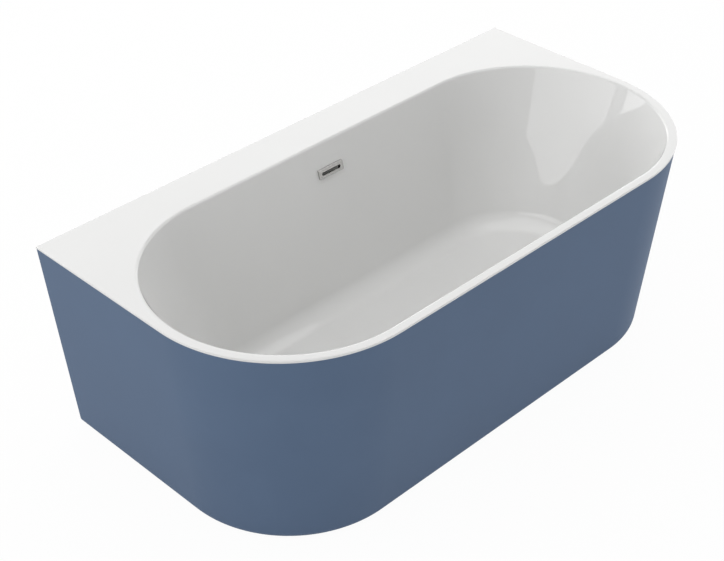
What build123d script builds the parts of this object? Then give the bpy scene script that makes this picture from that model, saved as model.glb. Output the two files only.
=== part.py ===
from build123d import *
import math
import os

# All sizes are in millimetres. X runs along the bath, +Y points to the wall, +Z is up.
# The origin lies on the floor, under the middle of the bath.

# Overall size
length = 1600
width = 820
height = 572
floor_gap = 4
half_length = length / 2
half_width = width / 2

# Deck and rim
deck_thickness = 6
corner_radius = 365
deck_edge_round = 1.5
rim_round = 7
front_rim = 24
end_rim = 27
back_deck = 121

# Basin: a stadium that narrows from the rim to the floor
basin_half_length = half_length - end_rim
basin_radius = (width - front_rim - back_deck) / 2
basin_y = (front_rim - back_deck) / 2
basin_floor_z = 154
basin_floor_half_length = 597
basin_floor_radius = 213
basin_floor_fillet = 60
shell_thickness = 6

# Outer skirt
skirt_recess = 1.5
skirt_thickness = 5
skirt_draft = 54
skirt_top_flange = 12
skirt_bottom_flange = 30
skirt_rear_flange = 25
skirt_bottom_round = 22

# Base board and rim batten
board_thickness = 15
board_half_length = 550
board_radius = 165
board_waste_hole_radius = 55
batten_length = 1530
batten_depth = 40
batten_height = 20
batten_setback = 5

# Leg rails and deck posts, square steel tube
rail_size = 30
rail_wall = 2
rail_x = 400
rail_front_y = -336
rail_back_y = 398
centre_rail_x = 150
centre_rail_length = 110
post_size = 25
post_y = 385
post_plate_length = 70
post_plate_depth = 30
post_plate_thickness = 3

# Levelling feet, M12
foot_front_y = -290
foot_rear_y = 340
stem_radius = 6
stem_clearance = 0.05
stem_bottom_z = 6.2
stem_top_z = 129
stem_collar_z = 20
stem_collar_height = 8
stem_collar_flats = 19
stem_end_chamfer = 1
pad_radius = 25
pad_rim_height = 5
pad_height = 16
pad_cone_radius = 22.5
pad_neck_radius = 12
pad_socket_z = 6
insert_flange_radius = 11
insert_flange_thickness = 1.5
insert_sleeve_radius = 8.5
insert_sleeve_height = 15
lock_nut_flats = 18
lock_nut_height = 10

# Screws
screw_radius = 2.1
screw_head_radius = 4.5
screw_head_height = 2.5
board_screw_length = 14
board_screw_offset = 90
centre_screw_offset = 36
batten_screw_offset = 28.5
rail_screw_access_radius = 6

# Brackets and blocks that hold the skirt
bracket_thickness = 2
bracket_width = 80
bracket_leg = 34
bracket_upright = 50
bracket_screw_offset = 27
strap_thickness = 3
strap_width = 40
strap_inner_x = 490
strap_outer_x = 723
strap_drop = 43
strap_screw_offset = 10
block_length = 90
block_height = 56
block_bottom_z = 86
front_block_back_y = -340
block_screw_length = 12

# Overflow in the basin's back wall
overflow_z = 497
plate_width = 84
plate_height = 26
plate_thickness = 5
plate_round = 1.2
plate_corner_radius = 2
slot_width = 60
slot_height = 6
passage_width = 56
passage_height = 10
passage_reach = 60
overflow_gasket_thickness = 1
overflow_gasket_inset = 1
back_gasket_thickness = 2
overflow_flange_width = 90
overflow_flange_height = 36
overflow_flange_thickness = 4
chamber_width = 63
chamber_height = 34
chamber_depth = 30
chamber_wall = 3
post_pitch = 72
overflow_post_radius = 3
pin_margin = 1
overflow_screw_radius = 1.75
overflow_screw_head_radius = 3.8
overflow_screw_head_height = 2.5

# Overflow hose, ribbed
hose_radius = 16
hose_root_radius = 14.4
hose_bore_radius = 13
hose_rib_pitch = 6
hose_rib_crest = 2.6
hose_nut_radius = 22
hose_nut_length = 24
hose_nut_grips = 12
hose_nut_grip_radius = 2.2
hose_y = 292
hose_top_z = 442
hose_bend_top_z = 230
hose_bend_low_y = 190
hose_low_z = 88
hose_end_y = 22
hose_bend_share = 0.45

# Waste outlet in the basin floor
waste_hole_radius = 26
waste_recess_radius = 38
waste_recess_depth = 3
waste_boss_radius = 44
flange_radius = 36
flange_thickness = 3
flange_round = 1.2
throat_radius = 20.5
flange_tube_radius = 24
flange_tube_bottom_z = 118
strainer_arm_width = 4
strainer_arm_height = 8
strainer_overlap = 0.5
strainer_z = 126
strainer_boss_radius = 12
cartridge_radius = 9
top_seal_thickness = 1.5
top_seal_radius = 34
bottom_seal_thickness = 5
bottom_seal_radius = 38
body_flange_thickness = 4
body_radius = 30
body_shoulder_z = 66
outlet_radius = 23.9
outlet_bore_radius = 20
outlet_bottom_z = 40
body_bore_bottom_z = 72

# Click-clack plug
plug_travel = 8
plug_seat_gap = 0.2
plug_cap_radius = 31
plug_cap_edge = 3.5
plug_cap_crown = 2.5
plug_cap_round = 1
plug_seal_outer_radius = 29
plug_seal_inner_radius = 22
plug_seal_thickness = 2
plunger_radius = 5
plunger_clearance = 0.05
plunger_bottom_z = 106
plunger_collar_radius = 7
plunger_collar_height = 3
plunger_collar_sink = 1
plunger_cap_depth = 2
clip_radius = 6.5
clip_height = 2.5
cartridge_bottom_z = 112
cartridge_guide_height = 10
cartridge_top_z = 148
cartridge_chamber_radius = 7.4
spring_radius = 6.2
spring_wire_radius = 0.5
spring_turns = 6
spring_end_gap = 0.2

# Heights that follow from the sizes above
deck_under_z = height - deck_thickness
floor_under_z = basin_floor_z - shell_thickness
board_bottom_z = floor_under_z - board_thickness
rail_bottom_z = board_bottom_z - rail_size
batten_bottom_z = deck_under_z - batten_height
recess_z = basin_floor_z - waste_recess_depth
recess_under_z = recess_z - shell_thickness
flange_seat_z = recess_z + top_seal_thickness
flange_top_z = flange_seat_z + flange_thickness
body_top_z = recess_under_z - bottom_seal_thickness
cap_seal_z = flange_top_z + plug_travel + plug_seat_gap
cap_bottom_z = cap_seal_z + plug_seal_thickness
overshoot = 20
cut_away_size = 260
sides = {"left": -1, "right": 1}
feet = {
    "front_left": (-rail_x, foot_front_y),
    "front_right": (rail_x, foot_front_y),
    "rear_left": (-rail_x, foot_rear_y),
    "rear_right": (rail_x, foot_rear_y),
    "centre": (centre_rail_x, basin_y),
}


def part_from(solids):
    return Compound(children=[piece for solid in solids for piece in solid.solids()])


def disc(radius, bottom_z, top_z, x=0, y=0):
    return Pos(x, y, bottom_z) * Cylinder(
        radius, top_z - bottom_z, align=(Align.CENTER, Align.CENTER, Align.MIN)
    )


def ring(outer_radius, inner_radius, bottom_z, top_z, x=0, y=0):
    hole = disc(inner_radius, bottom_z - overshoot, top_z + overshoot, x, y)
    return disc(outer_radius, bottom_z, top_z, x, y) - hole


def slab(x_range, y_range, z_range):
    size = [high - low for low, high in (x_range, y_range, z_range)]
    corner = [low for low, high in (x_range, y_range, z_range)]
    return Pos(*corner) * Box(*size, align=(Align.MIN, Align.MIN, Align.MIN))


def stadium(half_size, radius, z):
    return Pos(0, basin_y, z) * SlotOverall(2 * half_size, 2 * radius)


def basin_section(z, grow):
    share = (z - basin_floor_z) / (height - basin_floor_z)
    half_size = basin_floor_half_length + share * (basin_half_length - basin_floor_half_length)
    radius = basin_floor_radius + share * (basin_radius - basin_floor_radius)
    return stadium(half_size + grow, radius + grow, z)


def basin_form(bottom_z, top_z, grow, fillet_radius):
    form = loft([basin_section(bottom_z, grow), basin_section(top_z, grow)], ruled=True)
    bottom_edges = form.faces().sort_by(Axis.Z)[0].edges()
    return fillet(bottom_edges, fillet_radius)


def bath_outline(inset, back_y, z):
    """The D outline: square corners at the wall, round corners at the front."""
    x = half_length - inset
    front_y = -half_width + inset
    radius = corner_radius - inset
    bend = radius * (1 - math.cos(math.pi / 4))
    left = Line((-x, back_y), (-x, front_y + radius))
    left_bend = ThreePointArc(left @ 1, (-x + bend, front_y + bend), (-x + radius, front_y))
    front = Line(left_bend @ 1, (x - radius, front_y))
    right_bend = ThreePointArc(front @ 1, (x - bend, front_y + bend), (x, front_y + radius))
    right = Line(right_bend @ 1, (x, back_y))
    back = Line(right @ 1, left @ 0)
    return Pos(0, 0, z) * make_face([left, left_bend, front, right_bend, right, back])


def skirt_section(z, inset, back_y):
    draft = skirt_draft * (deck_under_z - z) / (deck_under_z - floor_gap)
    return bath_outline(skirt_recess + draft + inset, back_y, z)


def skirt_form(bottom_z, top_z, inset, back_y, round_radius):
    sections = [skirt_section(bottom_z, inset, back_y), skirt_section(top_z, inset, back_y)]
    form = loft(sections, ruled=True)
    bottom_edges = form.faces().sort_by(Axis.Z)[0].edges().sort_by(Axis.Y)[:-1]
    return fillet(bottom_edges, round_radius)


# The basin's back wall leans outwards, so the overflow has its own plane on it.
wall_lean = (basin_radius - basin_floor_radius) / (height - basin_floor_z)
overflow_y = basin_y + basin_radius - (height - overflow_z) * wall_lean
overflow_plane = Plane(
    origin=(0, overflow_y, overflow_z), x_dir=(1, 0, 0), z_dir=(0, -1, wall_lean)
)
wall_grow = shell_thickness * math.sqrt(1 + wall_lean**2)


def overflow_passage(passage_size, passage_rise, front=passage_reach, back=passage_reach):
    section = Plane.XZ * SlotOverall(passage_size, passage_rise)
    tunnel = extrude(section, amount=front, dir=(0, -1, 0)) + extrude(section, amount=back, dir=(0, 1, 0))
    return Pos(0, overflow_y, overflow_z) * tunnel


def overflow_sheet(sheet_width, sheet_height, bottom, top, corner=plate_corner_radius):
    sheet = extrude(RectangleRounded(sheet_width, sheet_height, corner), amount=top - bottom)
    return overflow_plane * (Pos(0, 0, bottom) * sheet)


def overflow_pins(radius, bottom, top):
    return [
        overflow_plane * (Pos(side * post_pitch / 2, 0, 0) * disc(radius, bottom, top))
        for side in sides.values()
    ]


def bath_shell():
    deck = extrude(bath_outline(0, half_width, deck_under_z), amount=deck_thickness)
    tub = basin_form(floor_under_z, deck_under_z, wall_grow, basin_floor_fillet + shell_thickness)
    waste_boss = disc(waste_boss_radius, recess_under_z, floor_under_z, y=basin_y)
    cavity = basin_form(basin_floor_z, height + overshoot, 0, basin_floor_fillet)
    shell = deck + tub + waste_boss - cavity
    deck_face = shell.faces().filter_by(Axis.Z).sort_by(Axis.Z)[-1]
    shell = fillet(deck_face.inner_wires()[0].edges(), rim_round)
    deck_face = shell.faces().filter_by(Axis.Z).sort_by(Axis.Z)[-1]
    shell = fillet(deck_face.outer_wire().edges(), deck_edge_round)
    shell -= disc(waste_recess_radius, recess_z, basin_floor_z + overshoot, y=basin_y)
    shell -= disc(waste_hole_radius, 0, basin_floor_z, y=basin_y)
    shell -= overflow_passage(passage_width, passage_height)
    for pin in overflow_pins(overflow_post_radius, -overshoot, overshoot):
        shell -= pin
    return shell


def skirt_inside():
    return skirt_form(
        floor_gap + skirt_thickness,
        deck_under_z - skirt_thickness,
        skirt_thickness,
        half_width - skirt_thickness,
        skirt_bottom_round - skirt_thickness,
    )


def outer_skirt():
    inner_back_y = half_width - skirt_thickness
    skirt = skirt_form(floor_gap, deck_under_z, 0, half_width, skirt_bottom_round) - skirt_inside()
    top_inset = skirt_recess + skirt_top_flange
    skirt -= extrude(
        bath_outline(top_inset, inner_back_y, deck_under_z - overshoot), amount=2 * overshoot
    )
    bottom_inset = skirt_recess + skirt_draft + skirt_bottom_flange
    skirt -= extrude(bath_outline(bottom_inset, inner_back_y, 0), amount=overshoot)
    return skirt - skirt_rear_opening()


def skirt_rear_opening():
    top_x = half_length - skirt_recess - skirt_rear_flange
    bottom_x = top_x - skirt_draft
    corners = [(-bottom_x, floor_gap), (bottom_x, floor_gap), (top_x, deck_under_z), (-top_x, deck_under_z)]
    middle = make_face(Polyline(*corners, close=True))
    opening = extrude(Plane.XZ.offset(-half_width - overshoot) * middle, amount=2 * overshoot)
    above = slab((-top_x, top_x), (half_width - overshoot, half_width), (deck_under_z, height))
    below = slab((-bottom_x, bottom_x), (half_width - overshoot, half_width), (0, floor_gap))
    return opening + above + below


def base_board():
    board = extrude(stadium(board_half_length, board_radius, board_bottom_z), amount=board_thickness)
    board -= disc(board_waste_hole_radius, 0, basin_floor_z, y=basin_y)
    for x, y in board_screw_places():
        board -= board_screw_shank(x, y)
    return board


def rear_rim_batten():
    back_y = half_width - batten_setback
    batten = slab(
        (-batten_length / 2, batten_length / 2),
        (back_y - batten_depth, back_y),
        (batten_bottom_z, deck_under_z),
    )
    for x in batten_screw_places():
        batten -= screw_shank(x, post_y, batten_bottom_z)
    return batten


def rail_screw_places():
    near_board = (basin_y - board_screw_offset, basin_y + board_screw_offset)
    places = [(side * rail_x, y) for side in sides.values() for y in near_board]
    places += [(centre_rail_x, basin_y + step * centre_screw_offset) for step in sides.values()]
    return places


def strap_screw_places():
    x = strap_inner_x + strap_width / 2
    rows = (basin_y - strap_screw_offset, basin_y + strap_screw_offset)
    return [(side * x, y) for side in sides.values() for y in rows]


def board_screw_places():
    return rail_screw_places() + strap_screw_places()


def board_screw_shank(x, y):
    return disc(screw_radius, board_bottom_z - rail_wall, board_bottom_z + board_screw_length, x, y)


def screw_shank(x, y, from_z):
    return disc(screw_radius, from_z - post_plate_thickness, from_z + board_screw_length, x, y)


def batten_screw_places():
    steps = (-batten_screw_offset, batten_screw_offset)
    return [side * rail_x + step for side in sides.values() for step in steps]


def square_tube(x, y_range, foot_y):
    outer = slab(
        (x - rail_size / 2, x + rail_size / 2), y_range, (rail_bottom_z, board_bottom_z)
    )
    inner_half = rail_size / 2 - rail_wall
    inner = slab(
        (x - inner_half, x + inner_half),
        (y_range[0] - overshoot, y_range[1] + overshoot),
        (rail_bottom_z + rail_wall, board_bottom_z - rail_wall),
    )
    tube = outer - inner
    for y in foot_y:
        tube -= disc(insert_sleeve_radius, 0, rail_bottom_z + rail_wall, x, y)
    for screw_x, screw_y in rail_screw_places():
        if screw_x == x:
            tube -= disc(rail_screw_access_radius, 0, rail_bottom_z + rail_wall, screw_x, screw_y)
            tube -= board_screw_shank(screw_x, screw_y)
    return tube


def leg_rail(side):
    rail = square_tube(side * rail_x, (rail_front_y, rail_back_y), (foot_front_y, foot_rear_y))
    return rail - rail_bracket_screw(side)


def centre_leg_rail():
    half = centre_rail_length / 2
    return square_tube(centre_rail_x, (basin_y - half, basin_y + half), (basin_y,))


def deck_post(side):
    x = side * rail_x
    half = post_size / 2
    inner_half = half - rail_wall
    plate_z = batten_bottom_z - post_plate_thickness
    post = slab((x - half, x + half), (post_y - half, post_y + half), (board_bottom_z, plate_z))
    post -= slab(
        (x - inner_half, x + inner_half), (post_y - inner_half, post_y + inner_half), (0, plate_z)
    )
    post += slab(
        (x - post_plate_length / 2, x + post_plate_length / 2),
        (post_y - post_plate_depth / 2, post_y + post_plate_depth / 2),
        (plate_z, batten_bottom_z),
    )
    for screw_x in batten_screw_places():
        post -= screw_shank(screw_x, post_y, batten_bottom_z)
    return post


def board_screws():
    screws = []
    for x, y in rail_screw_places():
        head_top = board_bottom_z - rail_wall
        head = disc(screw_head_radius, head_top - screw_head_height, head_top, x, y)
        screws.append(head + board_screw_shank(x, y))
    for x, y in strap_screw_places():
        head_top = board_bottom_z - strap_thickness
        head = disc(screw_head_radius, head_top - screw_head_height, head_top, x, y)
        shank = disc(screw_radius, head_top, board_bottom_z + board_screw_length, x, y)
        screws.append(head + shank)
    return part_from(screws)


def batten_screws():
    head_top = batten_bottom_z - post_plate_thickness
    return part_from(
        disc(screw_head_radius, head_top - screw_head_height, head_top, x, post_y)
        + screw_shank(x, post_y, batten_bottom_z)
        for x in batten_screw_places()
    )


def hexagon(flats, bottom_z, top_z, x, y):
    section = Pos(x, y, bottom_z) * RegularPolygon(flats / 2, 6, major_radius=False)
    return extrude(section, amount=top_z - bottom_z)


def foot_pad(x, y):
    base = disc(pad_radius, 0, pad_rim_height, x, y)
    cone = Pos(x, y, pad_rim_height) * Cone(
        pad_cone_radius,
        pad_neck_radius,
        pad_height - pad_rim_height,
        align=(Align.CENTER, Align.CENTER, Align.MIN),
    )
    return base + cone - disc(stem_radius + stem_clearance, pad_socket_z, height, x, y)


def foot_stem(x, y):
    rod = disc(stem_radius, stem_bottom_z, stem_top_z, x, y)
    rod = chamfer(rod.edges().sort_by(Axis.Z)[-1], stem_end_chamfer)
    return rod + hexagon(stem_collar_flats, stem_collar_z, stem_collar_z + stem_collar_height, x, y)


def foot_inserts():
    inserts = []
    for x, y in feet.values():
        flange_z = rail_bottom_z - insert_flange_thickness
        flange = disc(insert_flange_radius, flange_z, rail_bottom_z, x, y)
        sleeve = disc(insert_sleeve_radius, rail_bottom_z, rail_bottom_z + insert_sleeve_height, x, y)
        inserts.append(flange + sleeve - disc(stem_radius + stem_clearance, 0, height, x, y))
    return part_from(inserts)


def foot_lock_nuts():
    top_z = rail_bottom_z - insert_flange_thickness
    return part_from(
        hexagon(lock_nut_flats, top_z - lock_nut_height, top_z, x, y)
        - disc(stem_radius + stem_clearance, 0, height, x, y)
        for x, y in feet.values()
    )


def front_bracket(side):
    x = side * rail_x
    foot_z = rail_bottom_z - bracket_thickness
    leg = slab(
        (x - bracket_width / 2, x + bracket_width / 2),
        (front_block_back_y, front_block_back_y + bracket_leg),
        (foot_z, rail_bottom_z),
    )
    upright = slab(
        (x - bracket_width / 2, x + bracket_width / 2),
        (front_block_back_y, front_block_back_y + bracket_thickness),
        (foot_z, foot_z + bracket_upright),
    )
    bracket = leg + upright - rail_bracket_screw(side)
    for screw in front_block_shanks(side):
        bracket -= screw
    return bracket


def rail_bracket_screw(side):
    y = front_block_back_y + bracket_leg / 2
    return disc(screw_radius, rail_bottom_z - bracket_thickness, rail_bottom_z + rail_wall, side * rail_x, y)


def front_block_screw_planes(side):
    z = block_bottom_z + block_height / 2
    planes = []
    for step in sides.values():
        x = side * rail_x + step * bracket_screw_offset
        planes.append(Plane(origin=(x, front_block_back_y, z), x_dir=(1, 0, 0), z_dir=(0, -1, 0)))
    return planes


def front_block_shanks(side):
    return [
        plane * disc(screw_radius, -bracket_thickness, block_screw_length)
        for plane in front_block_screw_planes(side)
    ]


def end_block_screw_planes(side):
    middle = board_bottom_z - strap_drop / 2
    planes = []
    for step in sides.values():
        origin = (side * strap_outer_x, basin_y + step * strap_screw_offset, middle)
        planes.append(Plane(origin=origin, x_dir=(0, side, 0), z_dir=(side, 0, 0)))
    return planes


def end_block_shanks(side):
    return [
        plane * disc(screw_radius, -strap_thickness, block_screw_length)
        for plane in end_block_screw_planes(side)
    ]


def end_strap(side):
    x_sorted = sorted((side * strap_inner_x, side * strap_outer_x))
    y_range = (basin_y - strap_width / 2, basin_y + strap_width / 2)
    flat = slab(x_sorted, y_range, (board_bottom_z - strap_thickness, board_bottom_z))
    drop_x = sorted((side * (strap_outer_x - strap_thickness), side * strap_outer_x))
    strap = flat + slab(drop_x, y_range, (board_bottom_z - strap_drop, board_bottom_z))
    for x, y in strap_screw_places():
        strap -= disc(screw_radius, 0, height, x, y)
    for screw in end_block_shanks(side):
        strap -= screw
    return strap


def front_block(side):
    x = side * rail_x
    blank = slab(
        (x - block_length / 2, x + block_length / 2),
        (-half_width, front_block_back_y),
        (block_bottom_z, block_bottom_z + block_height),
    )
    block = blank & skirt_inside()
    for screw in front_block_shanks(side):
        block -= screw
    return block


def end_block(side):
    blank = slab(
        sorted((side * strap_outer_x, side * half_length)),
        (basin_y - block_length / 2, basin_y + block_length / 2),
        (block_bottom_z, block_bottom_z + block_height),
    )
    block = blank & skirt_inside()
    for screw in end_block_shanks(side):
        block -= screw
    return block


def bracket_screws():
    screws = []
    for side in sides.values():
        shank = rail_bracket_screw(side)
        head_top = rail_bottom_z - bracket_thickness
        y = front_block_back_y + bracket_leg / 2
        head = disc(screw_head_radius, head_top - screw_head_height, head_top, side * rail_x, y)
        screws.append(shank + head)
        for plane, shank in zip(front_block_screw_planes(side), front_block_shanks(side)):
            top = -bracket_thickness
            screws.append(shank + plane * disc(screw_head_radius, top - screw_head_height, top))
        for plane, shank in zip(end_block_screw_planes(side), end_block_shanks(side)):
            top = -strap_thickness
            screws.append(shank + plane * disc(screw_head_radius, top - screw_head_height, top))
    return part_from(screws)


def overflow_plate():
    bottom = overflow_gasket_thickness
    plate = overflow_sheet(plate_width, plate_height, bottom, bottom + plate_thickness)
    front = plate.faces().sort_by(Axis(overflow_plane.origin, overflow_plane.z_dir))[-1]
    plate = fillet(front.edges(), plate_round)
    plate -= overflow_passage(slot_width, slot_height)
    for post in overflow_pins(overflow_post_radius, overflow_back(), bottom):
        plate += post
    for bore in overflow_pins(overflow_screw_radius, overflow_back(), bottom):
        plate -= bore
    return plate


def overflow_back():
    """How far the back of the overflow body's flange lies behind the basin's wall."""
    return -(shell_thickness + back_gasket_thickness + overflow_flange_thickness)


def gasket_sheet(sheet_width, sheet_height, bottom, top):
    sheet = overflow_sheet(sheet_width, sheet_height, bottom, top)
    sheet -= overflow_passage(passage_width, passage_height)
    for pin in overflow_pins(overflow_post_radius, bottom - pin_margin, top + pin_margin):
        sheet -= pin
    return sheet


def overflow_plate_gasket():
    return gasket_sheet(
        plate_width - 2 * overflow_gasket_inset,
        plate_height - 2 * overflow_gasket_inset,
        0,
        overflow_gasket_thickness,
    )


def overflow_body_gasket():
    return gasket_sheet(
        overflow_flange_width,
        overflow_flange_height,
        -shell_thickness - back_gasket_thickness,
        -shell_thickness,
    )


def overflow_body():
    flange_front = -shell_thickness - back_gasket_thickness
    flange = overflow_sheet(overflow_flange_width, overflow_flange_height, overflow_back(), flange_front)
    chamber_back_y = hose_y + hose_radius + chamber_wall
    chamber_front_y = chamber_back_y - chamber_depth - 2 * chamber_wall
    chamber_z = overflow_z - chamber_height / 2
    chamber = slab(
        (-chamber_width / 2, chamber_width / 2),
        (chamber_front_y, chamber_back_y),
        (chamber_z, chamber_z + chamber_height),
    )
    neck = disc(hose_radius, hose_top_z, chamber_z, y=hose_y)
    in_front = overflow_sheet(cut_away_size, cut_away_size, flange_front, passage_reach)
    hollow = slab(
        (-chamber_width / 2 + chamber_wall, chamber_width / 2 - chamber_wall),
        (chamber_front_y + chamber_wall, chamber_back_y - chamber_wall),
        (chamber_z + chamber_wall, chamber_z + chamber_height - chamber_wall),
    )
    body = flange + chamber + neck - in_front - hollow
    body -= disc(hose_bore_radius, hose_top_z, overflow_z, y=hose_y)
    body -= overflow_passage(passage_width, passage_height, back=hose_y - overflow_y)
    for pin in overflow_pins(overflow_post_radius, overflow_back() - pin_margin, 0):
        body -= pin
    return body


def overflow_screws():
    back = overflow_back()
    shanks = overflow_pins(overflow_screw_radius, back, 0)
    heads = overflow_pins(overflow_screw_head_radius, back - overflow_screw_head_height, back)
    return part_from(shank + head for shank, head in zip(shanks, heads))


def hose_path():
    points = [
        (0, hose_y, hose_top_z),
        (0, hose_y, hose_bend_top_z),
        (0, hose_bend_low_y, hose_low_z),
        (0, hose_end_y, hose_low_z),
    ]
    steps = [Vector(*end) - Vector(*start) for start, end in zip(points, points[1:])]
    radii = []
    for before, after in zip(steps, steps[1:]):
        half_turn = math.radians(before.get_angle(after)) / 2
        radii.append(hose_bend_share * min(before.length, after.length) / math.tan(half_turn))
    print("hose bend radii", [round(radius) for radius in radii])
    return FilletPolyline(*points, radius=radii)


def overflow_hose():
    """Plain cuffs at both ends, and ribs between them: each rib is four circles of a ruled loft."""
    path = hose_path()
    cuff = 2 * hose_radius
    count = int((path.length - 2 * cuff) / hose_rib_pitch)
    pitch = (path.length - 2 * cuff) / count
    slope = (pitch - hose_rib_crest) / 4
    stations = [(0, hose_radius), (cuff - slope, hose_radius)]
    for index in range(count):
        start = cuff + index * pitch
        stations += [
            (start, hose_root_radius),
            (start + slope, hose_root_radius),
            (start + 2 * slope, hose_radius),
            (start + 2 * slope + hose_rib_crest, hose_radius),
        ]
    end = path.length - cuff
    stations += [(end, hose_root_radius), (end + slope, hose_radius), (path.length, hose_radius)]
    sections = []
    for distance, radius in stations:
        share = distance / path.length
        section_plane = Plane(origin=path @ share, x_dir=(1, 0, 0), z_dir=path % share)
        sections.append(section_plane * Circle(radius))
    bore_plane = Plane(origin=path @ 0, x_dir=(1, 0, 0), z_dir=path % 0)
    bore = sweep(bore_plane * Circle(hose_bore_radius), path=path)
    hose = loft(sections, ruled=True) - bore
    print("hose length", round(path.length), "ribs", count, "volume", round(hose.volume))
    return hose


def hose_nut(plane):
    half = hose_nut_length / 2
    nut = ring(hose_nut_radius, hose_radius, -half, half)
    for index in range(hose_nut_grips):
        turn = math.tau * index / hose_nut_grips
        x = hose_nut_radius * math.cos(turn)
        y = hose_nut_radius * math.sin(turn)
        nut -= disc(hose_nut_grip_radius, -half, half, x, y)
    return plane * nut


def hose_nut_top():
    return hose_nut(Plane(origin=(0, hose_y, hose_top_z), z_dir=(0, 0, -1)))


def hose_nut_bottom():
    return hose_nut(Plane(origin=(0, hose_end_y, hose_low_z), z_dir=(0, 1, 0)))


def waste_flange():
    rim = ring(flange_radius, throat_radius, flange_seat_z, flange_top_z, y=basin_y)
    rim = fillet(rim.edges().filter_by(GeomType.CIRCLE).group_by(Axis.Z)[-1], flange_round)
    tube = ring(flange_tube_radius, throat_radius, flange_tube_bottom_z, flange_seat_z, y=basin_y)
    strainer_top = strainer_z + strainer_arm_height
    cross = disc(strainer_boss_radius, strainer_z, strainer_top, y=basin_y)
    for turn in (0, 90):
        arm = Box(
            2 * (throat_radius + strainer_overlap),
            strainer_arm_width,
            strainer_arm_height,
            align=(Align.CENTER, Align.CENTER, Align.MIN),
        )
        cross += Pos(0, basin_y, strainer_z) * (Rot(0, 0, turn + 45) * arm)
    return rim + tube + cross - disc(cartridge_radius, 0, height, y=basin_y)


def waste_top_seal():
    return ring(top_seal_radius, waste_hole_radius, recess_z, flange_seat_z, y=basin_y)


def waste_bottom_seal():
    return ring(bottom_seal_radius, flange_tube_radius, body_top_z, recess_under_z, y=basin_y)


def waste_body():
    flange = disc(bottom_seal_radius, body_top_z - body_flange_thickness, body_top_z, y=basin_y)
    barrel = disc(body_radius, body_shoulder_z, body_top_z, y=basin_y)
    outlet = disc(outlet_radius, outlet_bottom_z, body_shoulder_z, y=basin_y)
    branch_plane = Plane(origin=(0, basin_y, hose_low_z), z_dir=(0, 1, 0))
    branch_length = hose_end_y - basin_y
    branch = branch_plane * disc(hose_radius, 0, branch_length)
    body = flange + barrel + outlet + branch
    body -= disc(flange_tube_radius, body_bore_bottom_z, body_top_z + overshoot, y=basin_y)
    body -= disc(outlet_bore_radius, 0, body_top_z, y=basin_y)
    return body - branch_plane * disc(hose_bore_radius, 0, branch_length + overshoot)


def plug_cap():
    edge_z = cap_bottom_z + plug_cap_edge
    crown_z = edge_z + plug_cap_crown
    outline = make_face(
        [
            Line((0, cap_bottom_z), (plug_cap_radius, cap_bottom_z)),
            Line((plug_cap_radius, cap_bottom_z), (plug_cap_radius, edge_z)),
            ThreePointArc(
                (plug_cap_radius, edge_z),
                (plug_cap_radius * math.sqrt(0.5), edge_z + plug_cap_crown / 2),
                (0, crown_z),
            ),
            Line((0, crown_z), (0, cap_bottom_z)),
        ]
    )
    cap = Pos(0, basin_y, 0) * revolve(Plane.XZ * outline, axis=Axis.Z)
    rim_edges = [edge for edge in cap.edges().filter_by(GeomType.CIRCLE) if edge.radius == plug_cap_radius]
    cap = fillet(ShapeList(rim_edges).sort_by(Axis.Z)[-1], plug_cap_round)
    return cap - disc(plunger_radius, 0, cap_bottom_z + plunger_cap_depth, y=basin_y)


def plug_seal():
    return ring(plug_seal_outer_radius, plug_seal_inner_radius, cap_seal_z, cap_bottom_z, y=basin_y)


def plug_stem():
    rod = disc(plunger_radius, plunger_bottom_z, cap_bottom_z + plunger_cap_depth, y=basin_y)
    collar_z = cartridge_top_z - plunger_collar_sink
    collar = disc(plunger_collar_radius, collar_z, collar_z + plunger_collar_height, y=basin_y)
    clip_top = cartridge_bottom_z - spring_end_gap
    clip = disc(clip_radius, clip_top - clip_height, clip_top, y=basin_y)
    return rod + collar + clip


def plug_cartridge():
    guide_top = cartridge_bottom_z + cartridge_guide_height
    sleeve = disc(cartridge_radius, cartridge_bottom_z, cartridge_top_z, y=basin_y)
    sleeve -= disc(cartridge_chamber_radius, guide_top, height, y=basin_y)
    return sleeve - disc(plunger_radius + plunger_clearance, 0, height, y=basin_y)


def plug_spring():
    low_z = cartridge_bottom_z + cartridge_guide_height + spring_end_gap + spring_wire_radius
    high_z = cartridge_top_z - plunger_collar_sink - spring_end_gap - spring_wire_radius
    coil_height = high_z - low_z
    path = Helix(coil_height / spring_turns, coil_height, spring_radius)
    section = Plane(origin=path @ 0, z_dir=path % 0) * Circle(spring_wire_radius)
    return Pos(0, basin_y, low_z) * sweep(section, path=path, is_frenet=True)


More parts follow.
